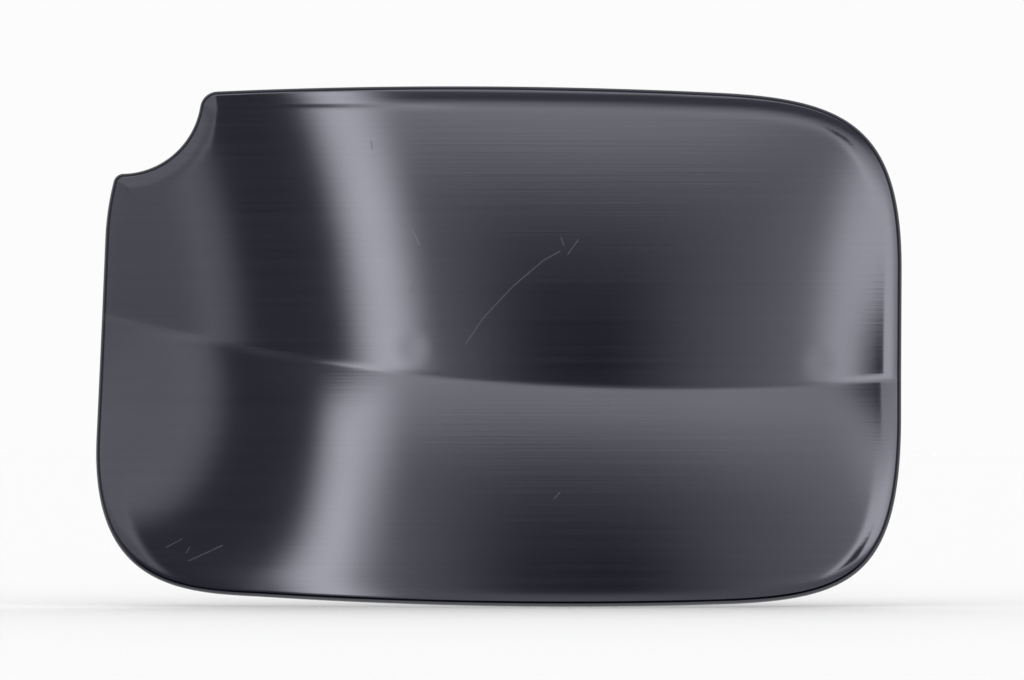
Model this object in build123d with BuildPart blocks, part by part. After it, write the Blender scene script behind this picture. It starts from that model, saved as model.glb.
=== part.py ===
from build123d import *

import os
from math import atan2, cos, degrees, pi, radians, sqrt, tan

os.makedirs("parts", exist_ok=True)

# Panel outline seen from outside: x runs towards the hinge, z up, from the panel's centre
panel_width = 201.0
panel_height = 129.6
top_bow_radius = 1400.0
top_apex = -12.0
bottom_bow_radius = 1230.0
bottom_apex = 18.0
hinge_edge_lean = 0.2
free_edge_lean = 2.1
free_edge_top = 27.0
free_shoulder_radius = 66.0

# Outline corners: how far each runs along the two edges, and how full its curve is
upper_corner_run, upper_corner_rise = 45.5, 46.0
upper_corner_reach_x, upper_corner_reach_z = 32.0, 36.0
lower_corner_run, lower_corner_rise = 45.5, 47.0
lower_corner_reach_x, lower_corner_reach_z = 33.0, 40.0
free_corner_run, free_corner_rise = 43.5, 42.0
free_corner_reach_x, free_corner_reach_z = 19.0, 40.0

# Finger notch in the upper free corner
notch_radius = 19.9
notch_from_side = 6.3
notch_from_top = 1.8
notch_lower_tip_radius = 2.6
notch_upper_tip_radius = 4.5

# Form of the outer face: bowed along the car, two convex facets meeting in a soft crease
crown_x = 15.0
free_drop = 14.0
hinge_drop = 5.0
bow_power = 2.4
upper_bow_fade = 145.0
lower_bow_fade = 140.0
upper_facet_radius = 700.0
lower_facet_radius = 440.0
crease_kick = 7.5
crease_radius = 18.0
crease_low_x = 40.0
crease_low_z = -10.0
crease_bow_radius = 544.0
tuck_drop = 1.8
tuck_from = 27.0
tuck_span = 64.0
form_stations = 7
form_margin = 8.0
outline_tolerance = 0.02

# Sheet, hem and pressed inner panel
skin_sheet = 0.8
inner_sheet = 0.7
hem_film = 0.05
hem_width = 8.0
hem_edge = 1.2
flange_width = 11.0
flange_to_hem = 0.3
pan_depth = 5.5
pan_draft = 14.0
pad_draft = 25.0

# Stiffening beads in the pan floor
bead_length = 80.0
bead_width = 13.0
bead_rise = 1.8
bead_x = -10.0
upper_bead_z = 30.0
lower_bead_z = -36.0

# Drain holes between the beads
drain_radius = 4.0
drain_spacing = 46.0
drain_x = -20.0
drain_z = -3.0

# Hinge pin line and what turns on it
hinge_inset = 26.0
pin_height = 30.0
pin_from_bolts = 13.0
pin_radius = 2.5
pin_head_radius = 4.2
pin_head_height = 1.8
pin_head_edge = 0.5
pin_tail = 2.0
pin_point = 0.6
pin_seat_clearance = 0.02
pin_running_clearance = 0.05

# Hinge bracket on the car body
bracket_sheet = 2.0
bracket_span = 44.0
bracket_free_run = 16.0
bracket_hinge_run = 2.0
bracket_eye_radius = 5.0
bracket_bend = 1.2
bolt_hole_radius = 3.3
bolt_spacing = 24.0

# Hinge arm on the door
arm_sheet = 1.6
arm_length = 30.0
arm_from_pin = 9.0
arm_flange = 4.5
arm_eye_radius = 5.5
arm_lift = 5.4
arm_bend = 1.0
pad_rise = 2.4
pad_margin = 3.0
pad_corner = 4.0

# Rivets between arm and inner panel
rivet_radius = 2.0
rivet_head_radius = 3.4
rivet_head_height = 1.2
rivet_tail_radius = 3.0
rivet_tail_height = 1.0
rivet_clearance = 0.05
rivet_spacing_x = 16.0
rivet_spacing_z = 20.0

# Flanged bushes in the arm's eyes
bush_wall = 0.9
bush_flange_radius = 5.0
bush_flange = 1.3
bush_fit = 0.02
bush_nose = 0.5
bush_end_play = 0.1

# Closing spring on its sleeve
spring_wire = 0.7
wire_sides = 8
turn_steps = 20
bend_steps = 4
spring_mean_radius = 4.6
spring_pitch = 1.7
spring_turns = 2
spring_leg_slope = 20.0
spring_leg = 13.0
spring_bend = 1.8
spring_low_z = 5.0
spring_hole_clearance = 0.25
sleeve_wall = 0.75
sleeve_end_gap = 0.4

# Retaining clip and washer at the pin's lower end
washer_thickness = 0.8
washer_radius = 4.6
clip_thickness = 0.8
clip_radius = 4.4
clip_depth = 0.6
clip_mouth = 3.4
clip_slack = 0.05

# Rubber buffers at the free end
buffer_radius = 7.0
buffer_height = 7.0
buffer_stem_radius = 2.9
buffer_stem_clearance = 0.1
buffer_barb_radius = 4.0
buffer_barb_length = 3.2
buffer_nose_radius = 1.9
buffer_pad_radius = 9.0
buffer_pad_rise = 2.2
buffer_x = -67.0
upper_buffer_z = 16.0
lower_buffer_z = -30.0


def sagitta(distance, radius):
    return radius - sqrt(radius**2 - distance**2)


# Places worked out from the sizes above
half_width = panel_width / 2
half_height = panel_height / 2
hem_thickness = 2 * (skin_sheet + hem_film) + inner_sheet
pin_x = pin_from_bolts
pin_y = -pin_height
panel_x = pin_x - (half_width - hinge_inset)
pad_x = half_width - hinge_inset - arm_from_pin - arm_length / 2
pad_y = pin_y - arm_lift - arm_sheet
floor_back = pan_depth + inner_sheet
flange_front = skin_sheet + hem_film
lip_front = flange_front + inner_sheet + hem_film
hollow_front = skin_sheet + pan_depth / 2
ear_inside = bracket_span / 2 - bracket_sheet
arm_outside = ear_inside - bush_flange - bush_end_play
arm_inside = arm_outside - arm_sheet
bush_radius = pin_radius + pin_running_clearance + bush_wall


def crease_z(x):
    return crease_low_z + sagitta(x - crease_low_x, crease_bow_radius)


def bow_height(x):
    if x < crown_x:
        return -free_drop * ((crown_x - x) / (half_width + crown_x)) ** bow_power
    return -hinge_drop * ((x - crown_x) / (half_width - crown_x)) ** bow_power


def free_tuck(x, rise):
    reach = max(0, -tuck_from - x) / (half_width - tuck_from)
    share = -rise / tuck_span
    return tuck_drop * reach**2 * 4 * share * (1 - share)


def face_height(x, z):
    rise = z - crease_z(x)
    if rise >= 0:
        return bow_height(x) * (1 - (rise / upper_bow_fade) ** 2) - sagitta(rise, upper_facet_radius)
    kick = rise * tan(radians(crease_kick)) + free_tuck(x, rise)
    return bow_height(x) * (1 + rise / lower_bow_fade) - kick - sagitta(rise, lower_facet_radius)


# The outer face's crown plane, set so that the hinge pad lies where the arm needs it
crown_y = pad_y - pad_rise - floor_back + face_height(pad_x, 0)


# How far the tools reach, so that they always pass right through the panel
form_reach = 2 * abs(crown_y)
pad_reach = pan_depth + pad_rise + free_drop
pan_front = crown_y - pan_depth
fold_reach = pin_height + bracket_eye_radius + arm_eye_radius
pan_back = crown_y + free_drop + sagitta(panel_height, upper_facet_radius) / 2


def face_y(x, z):
    return crown_y - face_height(x, z)


def panel_plane(y):
    return Plane(origin=(panel_x, y, 0), x_dir=(1, 0, 0), z_dir=(0, -1, 0))


def rim_edges(faces):
    edges = faces.edges()
    return edges.filter_by(lambda edge: sum(edge.is_same(other) for other in edges) == 1)


# Panel outline: three full corners, and the fourth cut away by the finger notch
with BuildSketch() as outline:
    with BuildLine():
        top_end = half_width - upper_corner_run
        free_top_x = free_edge_lean - half_width + sagitta(half_height - free_edge_top, free_shoulder_radius)
        top = ThreePointArc(
            (free_top_x, half_height - sagitta(free_top_x - top_apex, top_bow_radius)),
            (top_apex, half_height),
            (top_end, half_height - sagitta(top_end - top_apex, top_bow_radius)),
        )
        hinge_edge = Line(
            (half_width, half_height - upper_corner_rise),
            (half_width - hinge_edge_lean, lower_corner_rise - half_height),
        )
        bottom_hinge_end = half_width - lower_corner_run
        bottom_free_end = free_corner_run - half_width
        bottom = ThreePointArc(
            (bottom_hinge_end, sagitta(bottom_hinge_end - bottom_apex, bottom_bow_radius) - half_height),
            (bottom_apex, -half_height),
            (bottom_free_end, sagitta(bottom_free_end - bottom_apex, bottom_bow_radius) - half_height),
        )
        free_edge = Line(
            (-half_width, free_corner_rise - half_height),
            (free_edge_lean - half_width, free_edge_top),
        )
        TangentArc(free_edge @ 1, top @ 0, tangent=free_edge % 1)
        Bezier(
            top @ 1,
            top @ 1 + (top % 1) * upper_corner_reach_x,
            hinge_edge @ 0 - (hinge_edge % 0) * upper_corner_reach_z,
            hinge_edge @ 0,
        )
        Bezier(
            hinge_edge @ 1,
            hinge_edge @ 1 + (hinge_edge % 1) * lower_corner_reach_z,
            bottom @ 0 - (bottom % 0) * lower_corner_reach_x,
            bottom @ 0,
        )
        Bezier(
            bottom @ 1,
            bottom @ 1 + (bottom % 1) * free_corner_reach_x,
            free_edge @ 0 - (free_edge % 0) * free_corner_reach_z,
            free_edge @ 0,
        )
    make_face()
    notch_centre = (notch_from_side - half_width, half_height - notch_from_top)
    with Locations(notch_centre):
        Circle(notch_radius, mode=Mode.SUBTRACT)
    tips = outline.vertices().sort_by_distance((*notch_centre, 0))[:2].sort_by(Axis.X)
    fillet(tips[0], notch_lower_tip_radius)
    tips = outline.vertices().sort_by(Axis.Y).filter_by(lambda v: v.X < free_top_x + notch_radius)
    fillet(tips[-1], notch_upper_tip_radius)

# Block whose front is the outer face, lofted through upright sections along the car
with BuildPart() as form:
    section_top = half_height + form_margin
    for station in range(form_stations):
        x = (2 * station / (form_stations - 1) - 1) * (half_width + form_margin)
        crease = crease_z(x)
        heights = [section_top, (section_top + crease) / 2, crease, (crease - section_top) / 2, -section_top]
        points = [(face_y(x, z), z) for z in heights]
        with BuildSketch(Plane.YZ.offset(panel_x + x)) as section:
            with BuildLine():
                upper = ThreePointArc(*points[:3])
                lower = ThreePointArc(*points[2:])
                Polyline(lower @ 1, (0, -section_top), (0, section_top), upper @ 0)
            make_face()
            fillet(section.vertices().sort_by_distance((*points[2], 0))[0], crease_radius)
    loft()


def form_behind(depth):
    return form.part.moved(Location((0, depth, 0)))


def inset_outline(amount):
    with BuildSketch() as inset:
        add(outline.sketch)
        offset(amount=-amount, kind=Kind.INTERSECTION)
    return inset.sketch.face().to_splines(tolerance=outline_tolerance, nurbs=True)


def outline_layer(amount, front, back):
    with BuildPart() as layer:
        with BuildSketch(panel_plane(0)):
            add(inset_outline(amount))
        extrude(amount=form_reach)
        add(form_behind(front), mode=Mode.INTERSECT)
        add(form_behind(back), mode=Mode.SUBTRACT)
    return layer.part


# Outer skin: the face, turned back round the hem and folded flat behind the inner panel's flange
with BuildPart() as outer_skin:
    with BuildSketch(panel_plane(0)):
        add(outline.sketch)
    extrude(amount=form_reach)
    add(form.part, mode=Mode.INTERSECT)
    add(form_behind(hem_thickness), mode=Mode.SUBTRACT)
    chamfer(rim_edges(outer_skin.faces().filter_by(lambda f: f.normal_at().Y < -0.6)), hem_edge)
    add(outline_layer(hem_width, skin_sheet, form_reach), mode=Mode.SUBTRACT)
    add(outline_layer(skin_sheet, skin_sheet, lip_front), mode=Mode.SUBTRACT)


# Inner panel: a flange held in the hem, a shallow pan, and flat pads and beads pressed out of its floor
def pan_block(inset, front, back):
    with BuildPart() as block:
        with BuildSketch(panel_plane(pan_front)):
            add(inset_outline(inset))
        with BuildSketch(panel_plane(pan_back)):
            add(inset_outline(inset + (pan_back - pan_front) * tan(radians(pan_draft))))
        loft()
        add(form_behind(front), mode=Mode.INTERSECT)
        add(form_behind(back), mode=Mode.SUBTRACT)
    return block.part


def pad_block(profile, x, z, y, inset, front):
    with BuildPart() as block:
        with BuildSketch(panel_plane(y)):
            with Locations((x, z)):
                add(profile)
            offset(amount=-inset)
        extrude(amount=pad_reach, taper=-pad_draft)
        add(form_behind(front), mode=Mode.INTERSECT)
    return block.part


def bead_block(z, inset, front, back):
    with BuildPart() as block:
        with BuildSketch(panel_plane(0)):
            with Locations((bead_x, z)):
                SlotOverall(bead_length - 2 * inset, bead_width - 2 * inset)
        extrude(amount=form_reach)
        add(form_behind(front), mode=Mode.INTERSECT)
        add(form_behind(back), mode=Mode.SUBTRACT)
    return block.part


with BuildSketch() as hinge_pad:
    RectangleRounded(arm_length + 2 * pad_margin, 2 * (arm_outside + pad_margin), pad_corner)

with BuildSketch() as buffer_pad:
    Circle(buffer_pad_radius)

buffer_places = [(buffer_x, z, face_y(buffer_x, z) + floor_back + buffer_pad_rise)
                 for z in (upper_buffer_z, lower_buffer_z)]
pads = [(hinge_pad.sketch, pad_x, 0, pad_y)]
pads += [(buffer_pad.sketch, *place) for place in buffer_places]

with BuildPart() as inner_panel:
    add(outline_layer(skin_sheet + flange_to_hem, flange_front, flange_front + inner_sheet))
    add(pan_block(flange_width, flange_front, floor_back))
    for profile, x, z, y in pads:
        add(pad_block(profile, x, z, y, 0, pan_depth))
    for z in (upper_bead_z, lower_bead_z):
        add(bead_block(z, 0, pan_depth, floor_back + bead_rise))
    add(pan_block(flange_width + inner_sheet, skin_sheet, pan_depth), mode=Mode.SUBTRACT)
    for profile, x, z, y in pads:
        add(pad_block(profile, x, z, y - inner_sheet, inner_sheet, hollow_front), mode=Mode.SUBTRACT)
    for z in (upper_bead_z, lower_bead_z):
        add(bead_block(z, inner_sheet, hollow_front, pan_depth + bead_rise), mode=Mode.SUBTRACT)
    with BuildSketch(panel_plane(0)):
        with Locations((drain_x, drain_z)):
            with GridLocations(drain_spacing, 0, 2, 1):
                Circle(drain_radius)
        with Locations((pad_x, 0)):
            with GridLocations(rivet_spacing_x, rivet_spacing_z, 2, 2):
                Circle(rivet_radius + rivet_clearance)
        with Locations(*[(x, z) for x, z, y in buffer_places]):
            Circle(buffer_stem_radius + buffer_stem_clearance)
    extrude(amount=form_reach, mode=Mode.SUBTRACT)


# Closing spring: a leg seated in the bracket's plate, the coil, and a leg turned up into the arm's ear
pin_axis = Axis((pin_x, pin_y, 0), (0, 0, 1))
coil_turns = spring_turns + (270 + spring_leg_slope) / 360
lead_angle = degrees(atan2(spring_pitch, 2 * pi * spring_mean_radius))
with BuildLine(Plane.XY.offset(spring_low_z)) as helix:
    Helix(spring_pitch, spring_pitch * coil_turns, spring_mean_radius, center=(pin_x, pin_y, 0))
coil = helix.edge().rotate(pin_axis, 180)
lead_start = coil @ 0 - (coil % 0) * (pin_height - bracket_sheet / 2) / cos(radians(lead_angle))
tail_run = Vector((coil % 1).X, (coil % 1).Y, 0).normalized()
with BuildLine(Plane(origin=coil @ 1, x_dir=tail_run, z_dir=tail_run.cross(Vector(0, 0, 1)))) as tail:
    tail_leg = PolarLine((0, 0), spring_leg, angle=lead_angle)
    turn_up = JernArc(tail_leg @ 1, tail_leg % 1, spring_bend, 90 - lead_angle)
    tip = Line(turn_up @ 1, turn_up @ 1 + Vector(0, 0, arm_outside + spring_wire - (turn_up @ 1).Z))
spring_tip = turn_up @ 1


coil_steps = round(coil_turns * turn_steps)
coil_spots = [step / coil_steps for step in range(coil_steps + 1)]
bend_spots = [step / bend_steps for step in range(bend_steps + 1)]
wire_stations = [(lead_start, coil % 0, coil @ 0)]
wire_stations += [(coil @ spot, coil % spot, coil @ spot) for spot in coil_spots]
wire_stations += [(turn_up @ spot, turn_up % spot, coil @ 1) for spot in bend_spots]
wire_stations += [(tip @ 1, tip % 1, coil @ 1)]

with BuildPart() as closing_spring:
    for point, along, beside in wire_stations:
        outwards = Vector(beside.X - pin_x, beside.Y - pin_y, 0)
        with BuildSketch(Plane(origin=point, x_dir=outwards, z_dir=along)):
            RegularPolygon(spring_wire, wire_sides)
    loft(ruled=True)


# Section of a sheet folded into a channel that opens towards +Y or, with way -1, towards -Y
def fold_section(half_span, sheet, bend, way):
    with BuildSketch(mode=Mode.PRIVATE) as fold:
        Rectangle(fold_reach, 2 * half_span, align=(Align.MIN, Align.CENTER))
        fillet(fold.vertices().group_by(Axis.X)[0], bend + sheet)
        with BuildSketch(mode=Mode.PRIVATE) as hollow:
            with Locations((sheet, 0)):
                Rectangle(fold_reach, 2 * (half_span - sheet), align=(Align.MIN, Align.CENTER))
            fillet(hollow.vertices().group_by(Axis.X)[0], bend)
        add(hollow.sketch, mode=Mode.SUBTRACT)
    if way < 0:
        return mirror(fold.sketch, about=Plane.YZ)
    return add(fold.sketch)


# Hinge arm: a folded channel riveted to the inner panel, its two ears reaching to the pin
with BuildPart() as hinge_arm:
    arm_free_end = panel_x + pad_x - arm_length / 2
    arm_hinge_end = arm_free_end + arm_length
    with BuildSketch(Plane.YZ.offset(arm_free_end)):
        with Locations((pad_y, 0)):
            fold_section(arm_outside, arm_sheet, arm_bend, 1)
    extrude(amount=arm_length + arm_from_pin + arm_eye_radius)
    with BuildSketch(Plane.XY.offset(-arm_outside)):
        with BuildLine():
            CenterArc((pin_x, pin_y), arm_eye_radius, 180, 360)
            Polyline(
                (arm_free_end, pad_y),
                (arm_hinge_end, pad_y),
                (arm_hinge_end, pad_y + arm_sheet + arm_flange),
                (arm_free_end, pad_y + arm_sheet + arm_flange),
                close=True,
            )
        make_hull()
    extrude(amount=2 * arm_outside, mode=Mode.INTERSECT)
    with BuildSketch(Plane.XY.offset(-arm_inside)):
        with Locations((arm_hinge_end, pad_y)):
            Rectangle(arm_from_pin, 2 * (arm_sheet + arm_bend), align=(Align.MIN, Align.CENTER))
    extrude(amount=2 * arm_inside, mode=Mode.SUBTRACT)
    with BuildSketch(panel_plane(pad_y)):
        with Locations((pad_x, 0)):
            with GridLocations(rivet_spacing_x, rivet_spacing_z, 2, 2):
                Circle(rivet_radius + rivet_clearance)
    extrude(amount=-arm_sheet, mode=Mode.SUBTRACT)
    with BuildSketch(Plane.XY.offset(-arm_outside)):
        with Locations((pin_x, pin_y)):
            Circle(bush_radius + bush_fit)
    extrude(amount=2 * arm_outside, mode=Mode.SUBTRACT)
    with BuildSketch(Plane.XY):
        with Locations((spring_tip.X, spring_tip.Y)):
            Circle(spring_wire + spring_hole_clearance)
    extrude(amount=arm_outside, mode=Mode.SUBTRACT)


# Rivets: a flat head on the arm and a closed head inside the pan
rivet_grip = arm_sheet + inner_sheet
with BuildPart() as arm_rivets:
    with BuildSketch() as rivet_half:
        with BuildLine():
            Polyline(
                (0, rivet_grip + rivet_head_height),
                (rivet_head_radius, rivet_grip + rivet_head_height),
                (rivet_head_radius, rivet_grip),
                (rivet_radius, rivet_grip),
                (rivet_radius, 0),
                (rivet_tail_radius, 0),
                (rivet_tail_radius, -rivet_tail_height),
                (0, -rivet_tail_height),
                close=True,
            )
        make_face()
    rivet = revolve(rivet_half.sketch, axis=Axis.Y, mode=Mode.PRIVATE)
    for place in GridLocations(rivet_spacing_x, rivet_spacing_z, 2, 2):
        x, z = panel_x + pad_x + place.position.X, place.position.Y
        add(rivet.moved(Location((x, pad_y - inner_sheet, z))))


# Hinge bracket: a plate screwed to the car, folded at both ends into ears that carry the pin
with BuildPart() as hinge_bracket:
    bracket_length = bracket_free_run + pin_x + bracket_hinge_run
    with BuildSketch(Plane.YZ.offset(-bracket_free_run)):
        fold_section(bracket_span / 2, bracket_sheet, bracket_bend, -1)
    extrude(amount=bracket_length + bracket_eye_radius)
    with BuildSketch(Plane.XY.offset(-bracket_span / 2)):
        with BuildLine():
            CenterArc((pin_x, pin_y), bracket_eye_radius, 90, 360)
            Polyline(
                (-bracket_free_run, 0),
                (pin_x + bracket_hinge_run, 0),
                (pin_x + bracket_hinge_run, -2 * bracket_sheet),
                (-bracket_free_run, -2 * bracket_sheet),
                close=True,
            )
        make_hull()
    extrude(amount=bracket_span, mode=Mode.INTERSECT)
    with BuildSketch(Plane.XZ):
        with GridLocations(0, bolt_spacing, 1, 2):
            Circle(bolt_hole_radius)
        with Locations((lead_start.X, lead_start.Z)):
            Circle(spring_wire + spring_hole_clearance)
    extrude(amount=bracket_sheet, mode=Mode.SUBTRACT)
    with BuildSketch(Plane.XY.offset(-bracket_span / 2)):
        with Locations((pin_x, pin_y)):
            Circle(pin_radius + pin_seat_clearance)
    extrude(amount=bracket_span, mode=Mode.SUBTRACT)


# Hinge pin, headed above the upper ear and grooved below the lower one
clip_top = -bracket_span / 2 - washer_thickness - clip_slack
pin_end = clip_top - clip_thickness - clip_slack - pin_tail
with BuildPart() as hinge_pin:
    with BuildSketch(Plane(origin=(pin_x, pin_y, 0), x_dir=(1, 0, 0), z_dir=(0, -1, 0))) as pin_half:
        with BuildLine():
            groove_radius = pin_radius - clip_depth
            groove_top, groove_end = clip_top + clip_slack, clip_top - clip_thickness - clip_slack
            Polyline(
                (0, pin_end),
                (pin_radius - pin_point, pin_end),
                (pin_radius, pin_end + pin_point),
                (pin_radius, groove_end),
                (groove_radius, groove_end),
                (groove_radius, groove_top),
                (pin_radius, groove_top),
                (pin_radius, bracket_span / 2),
                (pin_head_radius, bracket_span / 2),
                (pin_head_radius, bracket_span / 2 + pin_head_height),
                (0, bracket_span / 2 + pin_head_height),
                close=True,
            )
        make_face()
    revolve(axis=Axis((pin_x, pin_y, 0), (0, 0, 1)))
    chamfer(hinge_pin.edges().filter_by(GeomType.CIRCLE).sort_by(Axis.Z)[-1], pin_head_edge)

with BuildPart() as pin_washer:
    with BuildSketch(Plane.XY.offset(-bracket_span / 2)):
        with Locations((pin_x, pin_y)):
            Circle(washer_radius)
            Circle(pin_radius + pin_running_clearance, mode=Mode.SUBTRACT)
    extrude(amount=-washer_thickness)

with BuildPart() as pin_clip:
    with BuildSketch(Plane.XY.offset(clip_top)):
        with Locations((pin_x, pin_y)):
            Circle(clip_radius)
            Circle(groove_radius + clip_slack, mode=Mode.SUBTRACT)
        with Locations((pin_x + clip_radius / 2, pin_y)):
            Rectangle(clip_radius, clip_mouth, mode=Mode.SUBTRACT)
    extrude(amount=-clip_thickness)


# Flanged bushes, pressed into the arm's eyes
def bush(side):
    with BuildPart() as shell:
        with BuildSketch(Plane.XY.offset(side * (arm_inside - bush_nose))):
            with Locations((pin_x, pin_y)):
                Circle(bush_radius)
        extrude(amount=side * (bush_nose + arm_sheet))
        with BuildSketch(Plane.XY.offset(side * arm_outside)):
            with Locations((pin_x, pin_y)):
                Circle(bush_flange_radius)
        extrude(amount=side * bush_flange)
        with BuildSketch(Plane.XY):
            with Locations((pin_x, pin_y)):
                Circle(pin_radius + pin_running_clearance)
        extrude(amount=side * bracket_span / 2, mode=Mode.SUBTRACT)
    return shell


upper_bush = bush(1)
lower_bush = bush(-1)

with BuildPart() as spring_sleeve:
    sleeve_end = arm_inside - bush_nose - sleeve_end_gap
    with BuildSketch(Plane.XY.offset(-sleeve_end)):
        with Locations((pin_x, pin_y)):
            Circle(pin_radius + pin_running_clearance + sleeve_wall)
            Circle(pin_radius + pin_running_clearance, mode=Mode.SUBTRACT)
    extrude(amount=2 * sleeve_end)


# Rubber buffers, each with a barbed stem snapped through its pad
def rubber_buffer(x, z, y):
    with BuildPart() as rubber:
        with BuildSketch(Plane(origin=(panel_x + x, y, z), x_dir=(1, 0, 0), z_dir=(0, 0, 1))) as half:
            with BuildLine():
                Polyline(
                    (0, buffer_height),
                    (buffer_radius, buffer_height),
                    (buffer_radius, 0),
                    (buffer_stem_radius, 0),
                    (buffer_stem_radius, -inner_sheet),
                    (buffer_barb_radius, -inner_sheet),
                    (buffer_nose_radius, -inner_sheet - buffer_barb_length),
                    (0, -inner_sheet - buffer_barb_length),
                    close=True,
                )
            make_face()
        revolve(axis=Axis((panel_x + x, y, z), (0, 1, 0)))
    return rubber


upper_buffer = rubber_buffer(*buffer_places[0])
lower_buffer = rubber_buffer(*buffer_places[1])

pieces = {
    "outer_skin": outer_skin,
    "inner_panel": inner_panel,
    "hinge_arm": hinge_arm,
    "arm_rivets": arm_rivets,
    "upper_bush": upper_bush,
    "lower_bush": lower_bush,
    "hinge_pin": hinge_pin,
    "pin_washer": pin_washer,
    "pin_clip": pin_clip,
    "hinge_bracket": hinge_bracket,
    "closing_spring": closing_spring,
    "spring_sleeve": spring_sleeve,
    "upper_buffer": upper_buffer,
    "lower_buffer": lower_buffer,
}
for name, piece in pieces.items():
    piece.part.label = name
    export_step(piece.part, f"parts/{name}.step")
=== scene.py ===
import math

import bmesh
import bpy
import numpy as np
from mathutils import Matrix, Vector


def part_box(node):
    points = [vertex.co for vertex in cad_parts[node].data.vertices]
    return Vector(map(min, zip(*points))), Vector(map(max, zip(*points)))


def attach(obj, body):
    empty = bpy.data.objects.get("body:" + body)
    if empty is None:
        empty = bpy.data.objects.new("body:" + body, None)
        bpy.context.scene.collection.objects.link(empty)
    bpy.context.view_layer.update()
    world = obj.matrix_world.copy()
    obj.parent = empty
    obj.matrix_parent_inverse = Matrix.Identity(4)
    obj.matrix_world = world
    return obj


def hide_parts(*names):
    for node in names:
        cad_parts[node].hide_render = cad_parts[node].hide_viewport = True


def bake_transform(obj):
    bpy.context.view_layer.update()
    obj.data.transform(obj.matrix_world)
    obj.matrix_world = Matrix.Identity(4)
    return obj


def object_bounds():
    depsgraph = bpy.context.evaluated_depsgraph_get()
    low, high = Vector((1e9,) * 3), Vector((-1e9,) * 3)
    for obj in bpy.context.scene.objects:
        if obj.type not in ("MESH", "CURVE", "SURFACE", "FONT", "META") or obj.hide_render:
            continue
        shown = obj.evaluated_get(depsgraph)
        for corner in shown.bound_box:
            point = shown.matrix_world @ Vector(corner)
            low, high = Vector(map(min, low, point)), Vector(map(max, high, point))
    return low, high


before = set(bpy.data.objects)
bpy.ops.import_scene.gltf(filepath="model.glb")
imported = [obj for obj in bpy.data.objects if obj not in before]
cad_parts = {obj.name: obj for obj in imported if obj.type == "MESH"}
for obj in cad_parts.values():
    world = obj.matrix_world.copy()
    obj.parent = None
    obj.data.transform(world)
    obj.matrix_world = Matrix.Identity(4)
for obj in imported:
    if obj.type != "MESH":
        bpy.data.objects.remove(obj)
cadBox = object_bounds()
mm = 0.001
scene = bpy.context.scene
print("frame loaded:", len(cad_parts), "nodes")


# Small helpers for node trees

def link(tree, value, socket):
    if isinstance(value, bpy.types.NodeSocket):
        tree.links.new(value, socket)
    else:
        socket.default_value = value


def maths(tree, operation, first, second=None, third=None):
    node = tree.nodes.new("ShaderNodeMath")
    node.operation = operation
    for place, value in enumerate((first, second, third)):
        if value is not None:
            link(tree, value, node.inputs[place])
    return node.outputs[0]


def vectors(tree, operation, first, second=None, scale=None, out=0):
    node = tree.nodes.new("ShaderNodeVectorMath")
    node.operation = operation
    link(tree, first, node.inputs[0])
    if second is not None:
        link(tree, second, node.inputs[1])
    if scale is not None:
        link(tree, scale, node.inputs["Scale"])
    return node.outputs[out]


def ramp(tree, value, fromMin, fromMax, toMin=0.0, toMax=1.0):
    node = tree.nodes.new("ShaderNodeMapRange")
    node.interpolation_type = "SMOOTHSTEP"
    for place, item in enumerate((value, fromMin, fromMax, toMin, toMax)):
        link(tree, item, node.inputs[place])
    return node.outputs[0]


def lerp(tree, first, second, mask):
    gap = maths(tree, "SUBTRACT", second, first)
    return maths(tree, "MULTIPLY_ADD", gap, mask, first)


def newGroup(name, kind, inputs, outputs):
    tree = bpy.data.node_groups.new(name, kind)
    for label, socketKind, value in inputs:
        socket = tree.interface.new_socket(label, in_out="INPUT", socket_type=socketKind)
        if value is not None:
            socket.default_value = value
    for label, socketKind in outputs:
        tree.interface.new_socket(label, in_out="OUTPUT", socket_type=socketKind)
    return tree, tree.nodes.new("NodeGroupInput"), tree.nodes.new("NodeGroupOutput")


def placeGroup(tree, group, **values):
    node = tree.nodes.new("ShaderNodeGroup")
    node.node_tree = group
    for label, value in values.items():
        link(tree, value, node.inputs[label])
    return node


# Studio: even light on anything matt, and a set of soft cards that shiny faces mirror
studio = dict(
    white=0.973,                             # what the camera sees behind the part
    plain=1.0,                               # even light on anything matt
    eye=1.3, high=3.7, highFrom=6.5, highTo=14.0,      # wall in front of the part, lighter above
    top=0.7, highFade=11.0, highGone=27.0,
    ring=3.5, ringFrom=37.0, ringTo=42.0,              # light edge over the cards
    side=0.42, sideLow=0.0, lowFrom=-26.0, lowTo=-44.0,
    sideFrom=54.0, sideTo=64.0,                        # dark room round the cards, by the turn from its middle
    behind=1.0, behindFrom=98.0, behindTo=110.0,       # white wall behind the part
    lean=-8.0,                               # the room's middle, where the face looks on average
)
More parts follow.
